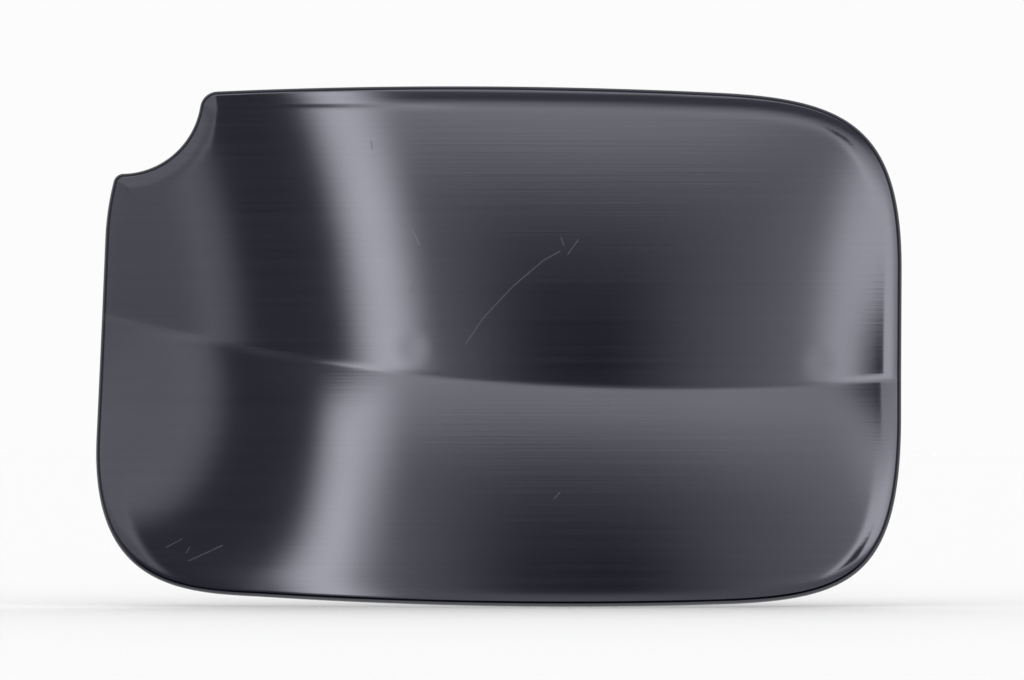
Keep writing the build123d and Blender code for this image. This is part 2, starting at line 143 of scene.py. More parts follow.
# azimuth and height in degrees as the part sees them, right and up positive; later cards cover earlier ones
studioCards = {
    "shade": dict(azimuth=1.0, halfWidth=2.8, soft=2.9, low=-12.0, high=6.8, fade=5.0, lowFade=7.0, glow=0.16),
    "left gap": dict(azimuth=-45.0, halfWidth=34.4, soft=0.9, low=-60.0, high=60.0, fade=10.0, glow=0.38),
    "left strip": dict(azimuth=-8.8, halfWidth=1.9, soft=1.6, low=-34.0, high=60.0, fade=9.0, glow=8.6),
    "left box": dict(azimuth=-47.8, halfWidth=27.2, soft=1.4, low=-4.0, high=40.0, fade=7.0, glow=1.45),
    "left high": dict(azimuth=-47.8, halfWidth=27.0, soft=2.2, low=10.5, high=40.0, fade=2.5, glow=1.95),
    "left rim": dict(azimuth=-23.4, halfWidth=1.0, soft=2.0, low=-4.0, high=40.0, fade=7.0, glow=2.1),
    "right toe": dict(azimuth=31.0, halfWidth=22.3, soft=3.3, low=-7.0, high=11.0, fade=4.5, glow=2.1),
    "right box": dict(azimuth=31.0, halfWidth=18.7, soft=1.2, low=-7.0, high=11.0, fade=4.5, glow=6.5),
    "right fade": dict(azimuth=61.0, halfWidth=20.0, soft=14.0, low=-7.0, high=11.0, fade=4.5, glow=1.8),
    "right lens": dict(azimuth=18.3, halfWidth=3.3, soft=0.45, low=-6.0, high=2.15, fade=1.25, glow=0.35),
    "right gap": dict(azimuth=15.2, halfWidth=2.1, soft=0.6, low=13.2, high=16.6, fade=1.2, glow=0.2),
    "strip dim": dict(azimuth=-5.8, halfWidth=3.0, soft=1.2, low=13.0, high=16.5, fade=1.0, glow=4.2),
    "strip foot": dict(azimuth=-12.5, halfWidth=4.0, soft=1.6, low=12.6, high=16.5, fade=1.3, glow=0.45),
}


def cardMask(tree, azimuth, height, card):
    away = maths(tree, "ABSOLUTE", maths(tree, "SUBTRACT", azimuth, card["azimuth"]))
    across = ramp(tree, away, card["halfWidth"] + card["soft"], card["halfWidth"] - card["soft"])
    under = ramp(tree, height, card["high"] + card["fade"], card["high"] - card["fade"])
    lowFade = card.get("lowFade", card["fade"])
    over = ramp(tree, height, card["low"] - lowFade, card["low"] + lowFade)
    return maths(tree, "MULTIPLY", across, maths(tree, "MULTIPLY", under, over))


def buildStudio():
    world = bpy.data.worlds.new("studio")
    scene.world = world
    world.use_nodes = True
    tree = world.node_tree
    tree.nodes.clear()
    way = tree.nodes.new("ShaderNodeSeparateXYZ")
    direction = tree.nodes.new("ShaderNodeTexCoord").outputs["Generated"]
    tree.links.new(direction, way.inputs[0])
    degree = 180 / math.pi
    azimuth = maths(tree, "MULTIPLY", maths(tree, "ARCSINE", way.outputs["X"]), degree)
    height = maths(tree, "MULTIPLY", maths(tree, "ARCSINE", way.outputs["Z"]), degree)
    lean = math.radians(studio["lean"])
    middle = (math.sin(lean), -math.cos(lean), 0.0)
    towardsMiddle = vectors(tree, "DOT_PRODUCT", direction, middle, out=1)
    turned = maths(tree, "MULTIPLY", maths(tree, "ARCCOSINE", towardsMiddle), degree)
    level = ramp(tree, height, studio["highFrom"], studio["highTo"], studio["eye"], studio["high"])
    level = lerp(tree, level, studio["top"], ramp(tree, height, studio["highFade"], studio["highGone"]))
    for card in studioCards.values():
        level = lerp(tree, level, card["glow"], cardMask(tree, azimuth, height, card))
    level = lerp(tree, level, studio["ring"], ramp(tree, height, studio["ringFrom"], studio["ringTo"]))
    room = ramp(tree, height, studio["lowFrom"], studio["lowTo"], studio["side"], studio["sideLow"])
    level = lerp(tree, level, room, ramp(tree, turned, studio["sideFrom"], studio["sideTo"]))
    level = lerp(tree, level, studio["behind"], ramp(tree, turned, studio["behindFrom"], studio["behindTo"]))
    # only shiny faces see the cards; the camera sees white and matt faces an even light
    rays = tree.nodes.new("ShaderNodeLightPath")
    even = lerp(tree, studio["plain"], studio["white"], rays.outputs["Is Camera Ray"])
    mix = tree.nodes.new("ShaderNodeMixShader")
    tree.links.new(rays.outputs["Is Glossy Ray"], mix.inputs[0])
    for place, strength in ((1, even), (2, level)):
        background = tree.nodes.new("ShaderNodeBackground")
        background.inputs["Color"].default_value = (1.0, 1.0, 1.0, 1.0)
        tree.links.new(strength, background.inputs["Strength"])
        tree.links.new(background.outputs[0], mix.inputs[place])
    out = tree.nodes.new("ShaderNodeOutputWorld")
    tree.links.new(mix.outputs[0], out.inputs["Surface"])
    print("studio built:", len(studioCards), "cards")


# Shader groups shared by the finishes

def streakGroup():
    tree, start, end = newGroup("fineStreaks", "ShaderNodeTree", [
        ("Along", "NodeSocketFloat", 14.0),
        ("Across", "NodeSocketFloat", 900.0),
    ], [("Streak", "NodeSocketFloat")])
    place = tree.nodes.new("ShaderNodeTexCoord").outputs["Object"]
    stretch = tree.nodes.new("ShaderNodeCombineXYZ")
    for axis, label in (("X", "Along"), ("Y", "Along"), ("Z", "Across")):
        tree.links.new(start.outputs[label], stretch.inputs[axis])
    noise = tree.nodes.new("ShaderNodeTexNoise")
    tree.links.new(vectors(tree, "MULTIPLY", place, stretch.outputs[0]), noise.inputs["Vector"])
    noise.inputs["Scale"].default_value = 1.0
    noise.inputs["Detail"].default_value = 3.0
    tree.links.new(noise.outputs[0], end.inputs["Streak"])
    return tree


def mottleGroup():
    tree, start, end = newGroup("softMottle", "ShaderNodeTree", [
        ("Size", "NodeSocketFloat", 60.0),
        ("Detail", "NodeSocketFloat", 3.0),
    ], [("Mottle", "NodeSocketFloat")])
    noise = tree.nodes.new("ShaderNodeTexNoise")
    tree.links.new(tree.nodes.new("ShaderNodeTexCoord").outputs["Object"], noise.inputs["Vector"])
    tree.links.new(start.outputs["Size"], noise.inputs["Scale"])
    tree.links.new(start.outputs["Detail"], noise.inputs["Detail"])
    tree.links.new(noise.outputs[0], end.inputs["Mottle"])
    return tree


def speckGroup():
    tree, start, end = newGroup("dustSpecks", "ShaderNodeTree", [
        ("Spacing", "NodeSocketFloat", 130.0),
        ("Radius", "NodeSocketFloat", 0.05),
        ("Share", "NodeSocketFloat", 0.25),
    ], [("Speck", "NodeSocketFloat")])
    cells = tree.nodes.new("ShaderNodeTexVoronoi")
    tree.links.new(tree.nodes.new("ShaderNodeTexCoord").outputs["Object"], cells.inputs["Vector"])
    tree.links.new(start.outputs["Spacing"], cells.inputs["Scale"])
    parts = tree.nodes.new("ShaderNodeSeparateColor")
    tree.links.new(cells.outputs["Color"], parts.inputs[0])
    kept = maths(tree, "LESS_THAN", parts.outputs[0], start.outputs["Share"])
    size = maths(tree, "MULTIPLY", parts.outputs[1], start.outputs["Radius"])
    near = maths(tree, "LESS_THAN", cells.outputs["Distance"], size)
    tree.links.new(maths(tree, "MULTIPLY", near, kept), end.inputs["Speck"])
    return tree


def squareOn(tree):
    # place on the face as seen from in front, without its depth
    return vectors(tree, "MULTIPLY", tree.nodes.new("ShaderNodeTexCoord").outputs["Object"], (1.0, 0.0, 1.0))


def scratchGroup():
    tree, start, end = newGroup("scratchLine", "ShaderNodeTree", [
        ("From", "NodeSocketVector", None),
        ("To", "NodeSocketVector", None),
        ("Width", "NodeSocketFloat", 0.0003),
    ], [("Mask", "NodeSocketFloat")])
    place = squareOn(tree)
    run = vectors(tree, "SUBTRACT", start.outputs["To"], start.outputs["From"])
    lead = vectors(tree, "SUBTRACT", place, start.outputs["From"])
    along = vectors(tree, "DOT_PRODUCT", lead, run, out=1)
    share = maths(tree, "DIVIDE", along, vectors(tree, "DOT_PRODUCT", run, run, out=1))
    share = maths(tree, "MINIMUM", maths(tree, "MAXIMUM", share, 0.0), 1.0)
    foot = vectors(tree, "SUBTRACT", lead, vectors(tree, "SCALE", run, scale=share))
    away = vectors(tree, "LENGTH", foot, out=1)
    tree.links.new(ramp(tree, away, start.outputs["Width"], 0.0), end.inputs["Mask"])
    return tree


def dentGroup():
    tree, start, end = newGroup("softDent", "ShaderNodeTree", [
        ("Centre", "NodeSocketVector", None),
        ("Radius", "NodeSocketFloat", 0.003),
    ], [("Mask", "NodeSocketFloat")])
    place = squareOn(tree)
    away = vectors(tree, "DISTANCE", place, start.outputs["Centre"], out=1)
    tree.links.new(ramp(tree, away, start.outputs["Radius"], 0.0), end.inputs["Mask"])
    return tree


streaks = streakGroup()
mottle = mottleGroup()
specks = speckGroup()
scratchLine = scratchGroup()
softDent = dentGroup()


def newMaterial(name, **sockets):
    material = bpy.data.materials.new(name)
    material.use_nodes = True
    shader = material.node_tree.nodes["Principled BSDF"]
    for label, value in sockets.items():
        shader.inputs[label.replace("_", " ")].default_value = value
    return material, material.node_tree, shader


def mixColours(tree, first, second, mask):
    node = tree.nodes.new("ShaderNodeMix")
    node.data_type = "RGBA"
    link(tree, mask, node.inputs["Factor"])
    link(tree, first, node.inputs["A"])
    link(tree, second, node.inputs["B"])
    return node.outputs["Result"]


def addBump(tree, shader, height, distance):
    bump = tree.nodes.new("ShaderNodeBump")
    bump.inputs["Strength"].default_value = 1.0
    bump.inputs["Distance"].default_value = distance
    tree.links.new(height, bump.inputs["Height"])
    tree.links.new(bump.outputs[0], shader.inputs["Normal"])


# Panel: the outline is the solid part's, in millimetres from the panel's centre
panel = dict(
    centreX=-61.5, crownY=-46.57,
    width=201.0, height=129.6,
    topBow=1400.0, topApex=-12.0, bottomBow=1230.0, bottomApex=18.0,
    hingeLean=0.2, freeLean=2.1, freeTop=27.0, shoulder=66.0,
    upperRun=45.5, upperRise=46.0, upperReach=(32.0, 36.0),
    lowerRun=45.5, lowerRise=47.0, lowerReach=(33.0, 40.0),
    freeRun=43.5, freeRise=42.0, freeReach=(19.0, 40.0),
    notchRadius=19.9, notchFromSide=6.3, notchFromTop=1.8, lowerTip=2.6, upperTip=4.5,
    spineFrom=-55.0, spineTo=53.0, columns=109,        # the face's middle line, which the mesh grows from
    stubPoints=4, cornerPoints=90, hingePoints=36, freeCornerPoints=86, freePoints=46,
    shoulderPoints=18, lowTipPoints=14, notchPoints=44, highTipPoints=16, topStubPoints=16,
)
pressing = {                                 # the face's rule, in millimetres, degrees and plain shares
    "Crown X": 15.0, "Free Drop": 14.0, "Hinge Drop": 5.0, "Bow Power": 2.4,
    "Upper Fade": 145.0, "Lower Fade": 140.0, "Upper Radius": 700.0, "Lower Radius": 560.0,
    "Crease Kick": 6.35, "Crease Blend": 1.1,
    "Crease Low X": 45.0, "Crease Low Z": -10.1, "Crease Bow": 585.0,
    "Tuck Drop": 2.1, "Tuck From": -35.0, "Tuck Span": 64.0,
}
notLengths = ("Bow Power", "Crease Kick")
hem = dict(
    sheet=0.8, thickness=2.4, lip=8.0, lipRound=0.25,
    slot=1.7, slotBack=1.05, slotRun=0.2, slotRound=0.08,      # the slot takes the inner panel's flange
    mouthRise=0.06, mouthRun=0.1,
    border=7.4, rollWidth=7.0, rollSlope=0.36,         # the face rolls off towards its rim
    turn=0.8, lowTurn=0.35, bevel=0.3, lowBevel=0.45, bevelAngle=56.0,
    back=0.35, leastWall=0.03,
    straightInset=2.2, steepest=0.7,
    faceRows=58, rowEasing=0.45, turnSteps=8, foldSteps=3, backRows=4,
    rollRings=(7.4, 6.7, 6.1, 5.5, 5.0, 4.5, 4.0, 3.6, 3.2, 2.8, 2.4, 2.1),
    lipRings=(2.0, 5.0), sharp=60,
)


def sagitta(distance, radius):
    return radius - np.sqrt(radius**2 - distance**2)


def creaseZ(x):
    return pressing["Crease Low Z"] + sagitta(x - pressing["Crease Low X"], pressing["Crease Bow"])


def arcRun(centre, radius, first, last, count):
    start = math.atan2(first[1] - centre[1], first[0] - centre[0])
    turn = math.atan2(last[1] - centre[1], last[0] - centre[0]) - start
    turn = (turn + math.pi) % (2 * math.pi) - math.pi
    angles = start + turn * np.linspace(0, 1, count)
    return np.stack([centre[0] + radius * np.cos(angles), centre[1] + radius * np.sin(angles)], 1)


def bezierRun(a, b, c, d, count):
    s = np.linspace(0, 1, count)[:, None]
    a, b, c, d = (np.array(p, float) for p in (a, b, c, d))
    return (1 - s)**3 * a + 3 * s * (1 - s)**2 * b + 3 * s**2 * (1 - s) * c + s**3 * d


def circlesMeet(a, radiusA, b, radiusB, side):
    a, b = np.array(a), np.array(b)
    gap = np.linalg.norm(b - a)
    along = (radiusA**2 - radiusB**2 + gap**2) / (2 * gap)
    off = math.sqrt(radiusA**2 - along**2)
    way = (b - a) / gap
    return a + way * along + side * off * np.array([-way[1], way[0]])


def towards(centre, point, radius):
    way = np.array(point) - np.array(centre)
    return np.array(centre) + way / np.linalg.norm(way) * radius


def panelOutline():
    # one closed line from the top's free end round by the hinge; top and bottom share their columns
    halfW, halfH = panel["width"] / 2, panel["height"] / 2
    columns = np.linspace(panel["spineFrom"], panel["spineTo"], panel["columns"])

    def topZ(x):
        return halfH - sagitta(x - panel["topApex"], panel["topBow"])

    def bottomZ(x):
        return sagitta(x - panel["bottomApex"], panel["bottomBow"]) - halfH

    def edgeRun(edgeZ, first, last, count):
        x = np.linspace(first, last, count)
        return np.stack([x, edgeZ(x)], 1)

    def slope(x, apex, radius):
        return (x - apex) / math.sqrt(radius**2 - (x - apex)**2)

    def unit(*way):
        return np.array(way) / np.linalg.norm(way)

    topEnd = halfW - panel["upperRun"]
    topEndPoint = np.array([topEnd, topZ(topEnd)])
    topWay = unit(1, -slope(topEnd, panel["topApex"], panel["topBow"]))
    hingeTop = np.array([halfW, halfH - panel["upperRise"]])
    hingeLow = np.array([halfW - panel["hingeLean"], panel["lowerRise"] - halfH])
    hingeWay = unit(*(hingeLow - hingeTop))
    lowEnd = halfW - panel["lowerRun"]
    lowEndPoint = np.array([lowEnd, bottomZ(lowEnd)])
    lowWay = unit(-1, -slope(lowEnd, panel["bottomApex"], panel["bottomBow"]))
    freeEnd = panel["freeRun"] - halfW
    freeEndPoint = np.array([freeEnd, bottomZ(freeEnd)])
    freeEndWay = unit(-1, -slope(freeEnd, panel["bottomApex"], panel["bottomBow"]))
    freeLow = np.array([-halfW, panel["freeRise"] - halfH])
    freeHigh = np.array([panel["freeLean"] - halfW, panel["freeTop"]])
    freeWay = unit(*(freeHigh - freeLow))

    # shoulder arc, which starts along the free edge and would end on the top edge
    shoulderX = freeHigh[0] + sagitta(halfH - panel["freeTop"], panel["shoulder"])
    chord = np.array([shoulderX, topZ(shoulderX)]) - freeHigh
    inwards = np.array([freeWay[1], -freeWay[0]])
    shoulderRadius = chord @ chord / (2 * chord @ inwards)
    shoulderCentre = freeHigh + inwards * shoulderRadius

    # finger notch and its two rounded tips
    notchCentre = np.array([panel["notchFromSide"] - halfW, halfH - panel["notchFromTop"]])
    notchR, lowTip, highTip = panel["notchRadius"], panel["lowerTip"], panel["upperTip"]
    topCentre = np.array([panel["topApex"], halfH - panel["topBow"]])
    lowTipCentre = circlesMeet(shoulderCentre, shoulderRadius - lowTip, notchCentre, notchR + lowTip, 1)
    highTipCentre = circlesMeet(topCentre, panel["topBow"] - highTip, notchCentre, notchR + highTip, -1)
    lowTipStart = towards(shoulderCentre, lowTipCentre, shoulderRadius)
    notchStart = towards(notchCentre, lowTipCentre, notchR)
    notchEnd = towards(notchCentre, highTipCentre, notchR)
    highTipEnd = towards(topCentre, highTipCentre, panel["topBow"])

    spineFrom, spineTo = panel["spineFrom"], panel["spineTo"]
    rightEnd = [
        edgeRun(topZ, spineTo, topEnd, panel["stubPoints"]),
        bezierRun(topEndPoint, topEndPoint + topWay * panel["upperReach"][0],
                  hingeTop - hingeWay * panel["upperReach"][1], hingeTop, panel["cornerPoints"]),
        np.linspace(hingeTop, hingeLow, panel["hingePoints"]),
        bezierRun(hingeLow, hingeLow + hingeWay * panel["lowerReach"][1],
                  lowEndPoint - lowWay * panel["lowerReach"][0], lowEndPoint, panel["cornerPoints"]),
        edgeRun(bottomZ, lowEnd, spineTo, panel["stubPoints"]),
    ]
    leftEnd = [
        edgeRun(bottomZ, spineFrom, freeEnd, panel["stubPoints"]),
        bezierRun(freeEndPoint, freeEndPoint + freeEndWay * panel["freeReach"][0],
                  freeLow - freeWay * panel["freeReach"][1], freeLow, panel["freeCornerPoints"]),
        np.linspace(freeLow, freeHigh, panel["freePoints"]),
        arcRun(shoulderCentre, shoulderRadius, freeHigh, lowTipStart, panel["shoulderPoints"]),
        arcRun(lowTipCentre, lowTip, lowTipStart, notchStart, panel["lowTipPoints"]),
        arcRun(notchCentre, notchR, notchStart, notchEnd, panel["notchPoints"]),
        arcRun(highTipCentre, highTip, notchEnd, highTipEnd, panel["highTipPoints"]),
        edgeRun(topZ, highTipEnd[0], spineFrom, panel["topStubPoints"]),
    ]
    top = np.stack([columns, topZ(columns)], 1)
    bottom = np.stack([columns[::-1], bottomZ(columns[::-1])], 1)
    runs = [top] + [run[1:] for run in rightEnd[:-1]] + [rightEnd[-1][1:-1]]
    runs += [bottom] + [run[1:] for run in leftEnd[:-1]] + [leftEnd[-1][1:-1]]
    return np.concatenate(runs)


def skinRings(outline):
    # rings of (points, depth) from the face's middle line out to the rim, round the hem and back to the middle
    ahead = np.roll(outline, -1, 0) - outline
    behind = outline - np.roll(outline, 1, 0)
    ahead /= np.linalg.norm(ahead, axis=1)[:, None]
    behind /= np.linalg.norm(behind, axis=1)[:, None]
    run = ahead + behind
    run /= np.linalg.norm(run, axis=1)[:, None]
    inwards = np.stack([run[:, 1], -run[:, 0]], 1)
    spineX = np.clip(outline[:, 0], panel["spineFrom"], panel["spineTo"])
    spine = np.stack([spineX, creaseZ(spineX)], 1)
    knee = outline + inwards * hem["straightInset"]
    reach = np.linalg.norm(spine - knee, axis=1)
    lean = np.clip(((spine - knee) * inwards).sum(1) / reach, hem["steepest"], 1)
    rings = []

    def addRing(amount, depth):
        amount = np.broadcast_to(amount, len(outline))
        near = outline + inwards * np.minimum(amount, hem["straightInset"])[:, None]
        share = np.maximum(amount - hem["straightInset"], 0) / (reach * lean)
        rings.append((near + (spine - knee) * share[:, None], np.broadcast_to(depth, len(outline))))

    def rollSlope(amount):
        return hem["rollSlope"] * (np.maximum(hem["rollWidth"] - amount, 0) / hem["rollWidth"])**2

    def roll(amount):
        return rollSlope(amount) * np.maximum(hem["rollWidth"] - amount, 0) / 3

    addRing(hem["border"], 0.0)
    outer = rings.pop()[0]
    for row in range(hem["faceRows"], 0, -1):
        share = row / hem["faceRows"]
        share = (1 - hem["rowEasing"]) * share + hem["rowEasing"] * math.sin(share * math.pi / 2)
        rings.append((outer + (spine - outer) * share, np.zeros(len(outline))))
    for amount in hem["rollRings"]:
        addRing(amount, roll(amount))
    # the rim: a tight turn, a steep bevel that is widest along the bottom, and the fold's back
    lower = np.clip(inwards[:, 1], 0, 1)
    bevel = hem["bevel"] + hem["lowBevel"] * lower
    turn = hem["turn"] + hem["lowTurn"] * lower
    steep = math.radians(hem["bevelAngle"])
    turnFrom = bevel + turn
    startAngle = np.arctan(rollSlope(turnFrom))
    radius = turn / (math.sin(steep) - np.sin(startAngle))
    for step in range(hem["turnSteps"] + 1):
        angle = startAngle + (steep - startAngle) * step / hem["turnSteps"]
        drop = radius * (np.cos(startAngle) - np.cos(angle))
        addRing(turnFrom - radius * (np.sin(angle) - np.sin(startAngle)), roll(turnFrom) + drop)
    bevelEnd = roll(turnFrom) + drop + bevel * math.tan(steep)
    addRing(bevel / 2, bevelEnd - bevel / 2 * math.tan(steep))
    addRing(0.0, bevelEnd)
    wallEnd = np.maximum(bevelEnd + hem["leastWall"], hem["thickness"] - hem["back"])
    back = hem["thickness"] - wallEnd
    for step in range(hem["foldSteps"] + 1):
        angle = step / hem["foldSteps"] * math.pi / 2
        addRing(back * (1 - math.cos(angle)), wallEnd + back * math.sin(angle))
    # the folded lip, its rounded end and the slot under it
    lip, thick, sheet = hem["lip"], hem["thickness"], hem["sheet"]
    slot, slotBack, ease = hem["slot"], hem["slotBack"], hem["lipRound"]
    for amount in hem["lipRings"]:
        addRing(amount, thick)
    for across, down in ((1.0, 0.0), (0.28, 0.28), (0.0, 1.0)):
        addRing(lip - ease * across, thick - ease * down)
    slotRun, slotRound = hem["slotRun"], hem["slotRound"]
    for amount, depth in (
        (lip, slotBack + hem["mouthRise"]), (lip - hem["mouthRun"], slotBack),
        (slot + slotRun, slotBack), (slot, slotBack - slotRound),
        (slot, sheet + slotRound), (slot + slotRun, sheet), (hem["border"], sheet),
    ):
        addRing(amount, depth)
    for row in range(1, hem["backRows"] + 1):
        share = row / hem["backRows"]
        rings.append((outer + (spine - outer) * share, np.full(len(outline), sheet)))
    return rings


def meshObject(name, points, faces, edges=()):
    mesh = bpy.data.meshes.new(name)
    mesh.from_pydata([tuple(p) for p in points], edges, faces)
    piece = bpy.data.objects.new(name, mesh)
    scene.collection.objects.link(piece)
    return piece


def ringFaces(ringCount, pointCount):
    faces = []
    for ring in range(ringCount - 1):
        for point in range(pointCount):
            nextPoint = (point + 1) % pointCount
            a, b = ring * pointCount + point, ring * pointCount + nextPoint
            faces.append((a, b, b + pointCount, a + pointCount))
    return faces


def tidyMesh(mesh, sharpAngle, merge=1e-7):
    if "custom_normal" in mesh.attributes:
        mesh.attributes.remove(mesh.attributes["custom_normal"])
    work = bmesh.new()
    work.from_mesh(mesh)
    bmesh.ops.remove_doubles(work, verts=work.verts, dist=merge)
    bmesh.ops.dissolve_degenerate(work, edges=work.edges, dist=merge)
    bmesh.ops.recalc_face_normals(work, faces=work.faces)
    for face in work.faces:
        face.smooth = True
    for edge in work.edges:
        edge.smooth = len(edge.link_faces) == 2 and edge.calc_face_angle(0) < math.radians(sharpAngle)
    work.to_mesh(mesh)
    work.free()


def pressTree(material):
    # moves a flat blank onto the face's rule: bow along the car, two bowed facets, soft crease, tucked free end
    sizes = [(label, "NodeSocketFloat", 0.0) for label in pressing]
    tree, start, end = newGroup(
        "pressedFace", "GeometryNodeTree",
        [("Geometry", "NodeSocketGeometry", None), ("Panel X", "NodeSocketFloat", 0.0),
         ("Crown Y", "NodeSocketFloat", 0.0), ("Half Width", "NodeSocketFloat", 0.0)] + sizes,
        [("Geometry", "NodeSocketGeometry")],
    )
    size = {socket.name: socket for socket in start.outputs}

    def do(operation, *values):
        return maths(tree, operation, *values)

    def nodeSagitta(distance, radius):
        rest = do("SUBTRACT", do("MULTIPLY", radius, radius), do("MULTIPLY", distance, distance))
        return do("SUBTRACT", radius, do("SQRT", rest))

    def nodeBow(distance, reach, power, drop):
        share = do("DIVIDE", do("MAXIMUM", distance, 0.0), reach)
        return do("MULTIPLY", do("POWER", share, power), drop)

    place = tree.nodes.new("ShaderNodeSeparateXYZ")
    tree.links.new(tree.nodes.new("GeometryNodeInputPosition").outputs[0], place.inputs[0])
    x = do("SUBTRACT", place.outputs["X"], size["Panel X"])
    fromCrown = do("SUBTRACT", x, size["Crown X"])
    toFree = do("MULTIPLY", fromCrown, -1.0)
    freeReach = do("ADD", size["Half Width"], size["Crown X"])
    hingeReach = do("SUBTRACT", size["Half Width"], size["Crown X"])
    drop = do("ADD", nodeBow(toFree, freeReach, size["Bow Power"], size["Free Drop"]),
              nodeBow(fromCrown, hingeReach, size["Bow Power"], size["Hinge Drop"]))
    fromLow = do("SUBTRACT", x, size["Crease Low X"])
    crease = do("ADD", size["Crease Low Z"], nodeSagitta(fromLow, size["Crease Bow"]))
    rise = do("SUBTRACT", place.outputs["Z"], crease)
    fall = do("MULTIPLY", rise, -1.0)
    up, down = do("MAXIMUM", rise, 0.0), do("MAXIMUM", fall, 0.0)
    upShare = do("DIVIDE", up, size["Upper Fade"])
    fade = do("ADD", do("MULTIPLY", upShare, upShare), do("DIVIDE", down, size["Lower Fade"]))
    depth = do("MULTIPLY", drop, do("SUBTRACT", 1.0, fade))
    depth = do("ADD", depth, nodeSagitta(up, size["Upper Radius"]))
    depth = do("ADD", depth, nodeSagitta(down, size["Lower Radius"]))
    # the crease eases in over its blend width
    soft = size["Crease Blend"]
    into = do("MINIMUM", do("MAXIMUM", do("ADD", soft, fall), 0.0), do("MULTIPLY", soft, 2.0))
    eased = do("DIVIDE", do("MULTIPLY", into, into), do("MULTIPLY", soft, 4.0))
    beyond = do("MAXIMUM", do("SUBTRACT", fall, soft), 0.0)
    kick = do("TANGENT", do("RADIANS", size["Crease Kick"]))
    depth = do("SUBTRACT", depth, do("MULTIPLY", kick, do("ADD", eased, beyond)))
    # below the crease the free end tucks in, so the crease dies away there
    tuckReach = do("ADD", size["Half Width"], size["Tuck From"])
    tuck = nodeBow(do("SUBTRACT", size["Tuck From"], x), tuckReach, 2.0, size["Tuck Drop"])
    tuckShare = do("DIVIDE", down, size["Tuck Span"])
    tuckShape = do("MULTIPLY", tuckShare, do("MULTIPLY_ADD", tuckShare, -4.0, 4.0))
    depth = do("MULTIPLY_ADD", tuck, tuckShape, depth)
    y = do("ADD", do("ADD", size["Crown Y"], depth), place.outputs["Y"])
    spot = tree.nodes.new("ShaderNodeCombineXYZ")
    tree.links.new(place.outputs["X"], spot.inputs["X"])
    tree.links.new(y, spot.inputs["Y"])
    tree.links.new(place.outputs["Z"], spot.inputs["Z"])
    move = tree.nodes.new("GeometryNodeSetPosition")
    tree.links.new(start.outputs["Geometry"], move.inputs["Geometry"])
    tree.links.new(spot.outputs[0], move.inputs["Position"])
    endTree(tree, move.outputs[0], end, material)
    return tree


def endTree(tree, geometry, end, material):
    real = tree.nodes.new("GeometryNodeRealizeInstances")
    paint = tree.nodes.new("GeometryNodeSetMaterial")
    paint.inputs["Material"].default_value = material
    tree.links.new(geometry, real.inputs[0])
    tree.links.new(real.outputs[0], paint.inputs["Geometry"])
    tree.links.new(paint.outputs[0], end.inputs["Geometry"])


def runTree(piece, tree, values):
    # sets the inputs by identifier, evaluates once and keeps the result as a plain mesh
    modifier = piece.modifiers.new(tree.name, "NODES")
    modifier.node_group = tree
    for item in tree.interface.items_tree:
        if item.item_type == "SOCKET" and item.in_out == "INPUT" and item.name in values:
            modifier[item.identifier] = values[item.name]
    graph = bpy.context.evaluated_depsgraph_get()
    plain = bpy.data.meshes.new_from_object(piece.evaluated_get(graph), depsgraph=graph)
    piece.modifiers.remove(modifier)
    piece.data = plain
    plain.name = piece.name


def settle(piece, body, node):
    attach(piece, body)
    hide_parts(node)


# Black dip coat on the skin, with the marks that the face carries and a painted highlight along the crease
skinMarks = dict(
    light=[                                  # scratches from end to end, in panel millimetres
        ((-8.2, 0.6), (-3.8, 7.1)), ((-3.8, 7.1), (3.5, 14.9)), ((3.5, 14.9), (11.2, 21.4)),
        ((11.2, 21.4), (15.2, 23.6)), ((15.5, 27.1), (16.2, 25.1)), ((19.8, 26.4), (17.2, 22.9)),
        ((-21.5, 28.9), (-19.8, 25.4)), ((27.0, -13.1), (29.0, -18.6)), ((15.2, -36.4), (13.8, -37.9)),
        ((-82.8, -50.1), (-79.0, -48.1)), ((-77.8, -51.4), (-77.0, -50.1)), ((-77.2, -53.4), (-68.8, -49.6)),
        ((-87.0, -54.4), (-85.4, -55.0)),
    ],
    dark=[                                   # chips and pits in the coat
        ((-20.0, 18.4), (-22.0, 13.4)), ((-31.8, 51.1), (-31.5, 49.1)), ((85.7, 36.9), (85.8, 36.9)),
        ((88.5, 41.1), (88.6, 41.2)), ((90.0, 34.9), (90.1, 34.9)), ((85.5, 33.4), (85.6, 33.4)),
    ],
    width=0.26,
    dents=[(-21.5, -0.5, 3.0), (80.0, -4.1, 2.6)], dentRadius=5.5,     # place and depth by the bump's measure
    highlightFrom=-38.0, highlightFull=-62.0,      # where along the crease the painted highlight starts and is full
    # the band above and below the crease that carries the painted highlight
    highlightOver=(0.7, 0.0), highlightUnder=(-2.4, -0.3),
)
skinCoat = dict(
    deep=(0.0009, 0.0012, 0.0062, 1.0), film=(0.005, 0.0054, 0.0124, 1.0), filmFrom=0.55, filmTo=0.95,
    pale=(0.05, 0.05, 0.056, 1.0), dark=(0.001, 0.001, 0.001, 1.0),
    # the crease's share is how strongly the painted highlight shows
    markShare=0.32, creaseHighlightShare=0.28, dustShare=0.35,
    rough=0.075, roughSpread=0.03, markRough=0.12,
    cloudHeight=0.8, bump=0.0000045,
    ior=1.58, tint=(0.87, 0.88, 1.0, 1.0),   # the coat mirrors a little blue
)


def scratchMask(tree, lines):
    total = None
    for first, last in lines:
        ends = [((panel["centreX"] + x) * mm, 0.0, z * mm) for x, z in (first, last)]
        node = placeGroup(tree, scratchLine, From=ends[0], To=ends[1], Width=skinMarks["width"] * mm)
        total = node.outputs[0] if total is None else maths(tree, "MAXIMUM", total, node.outputs[0])
    return total


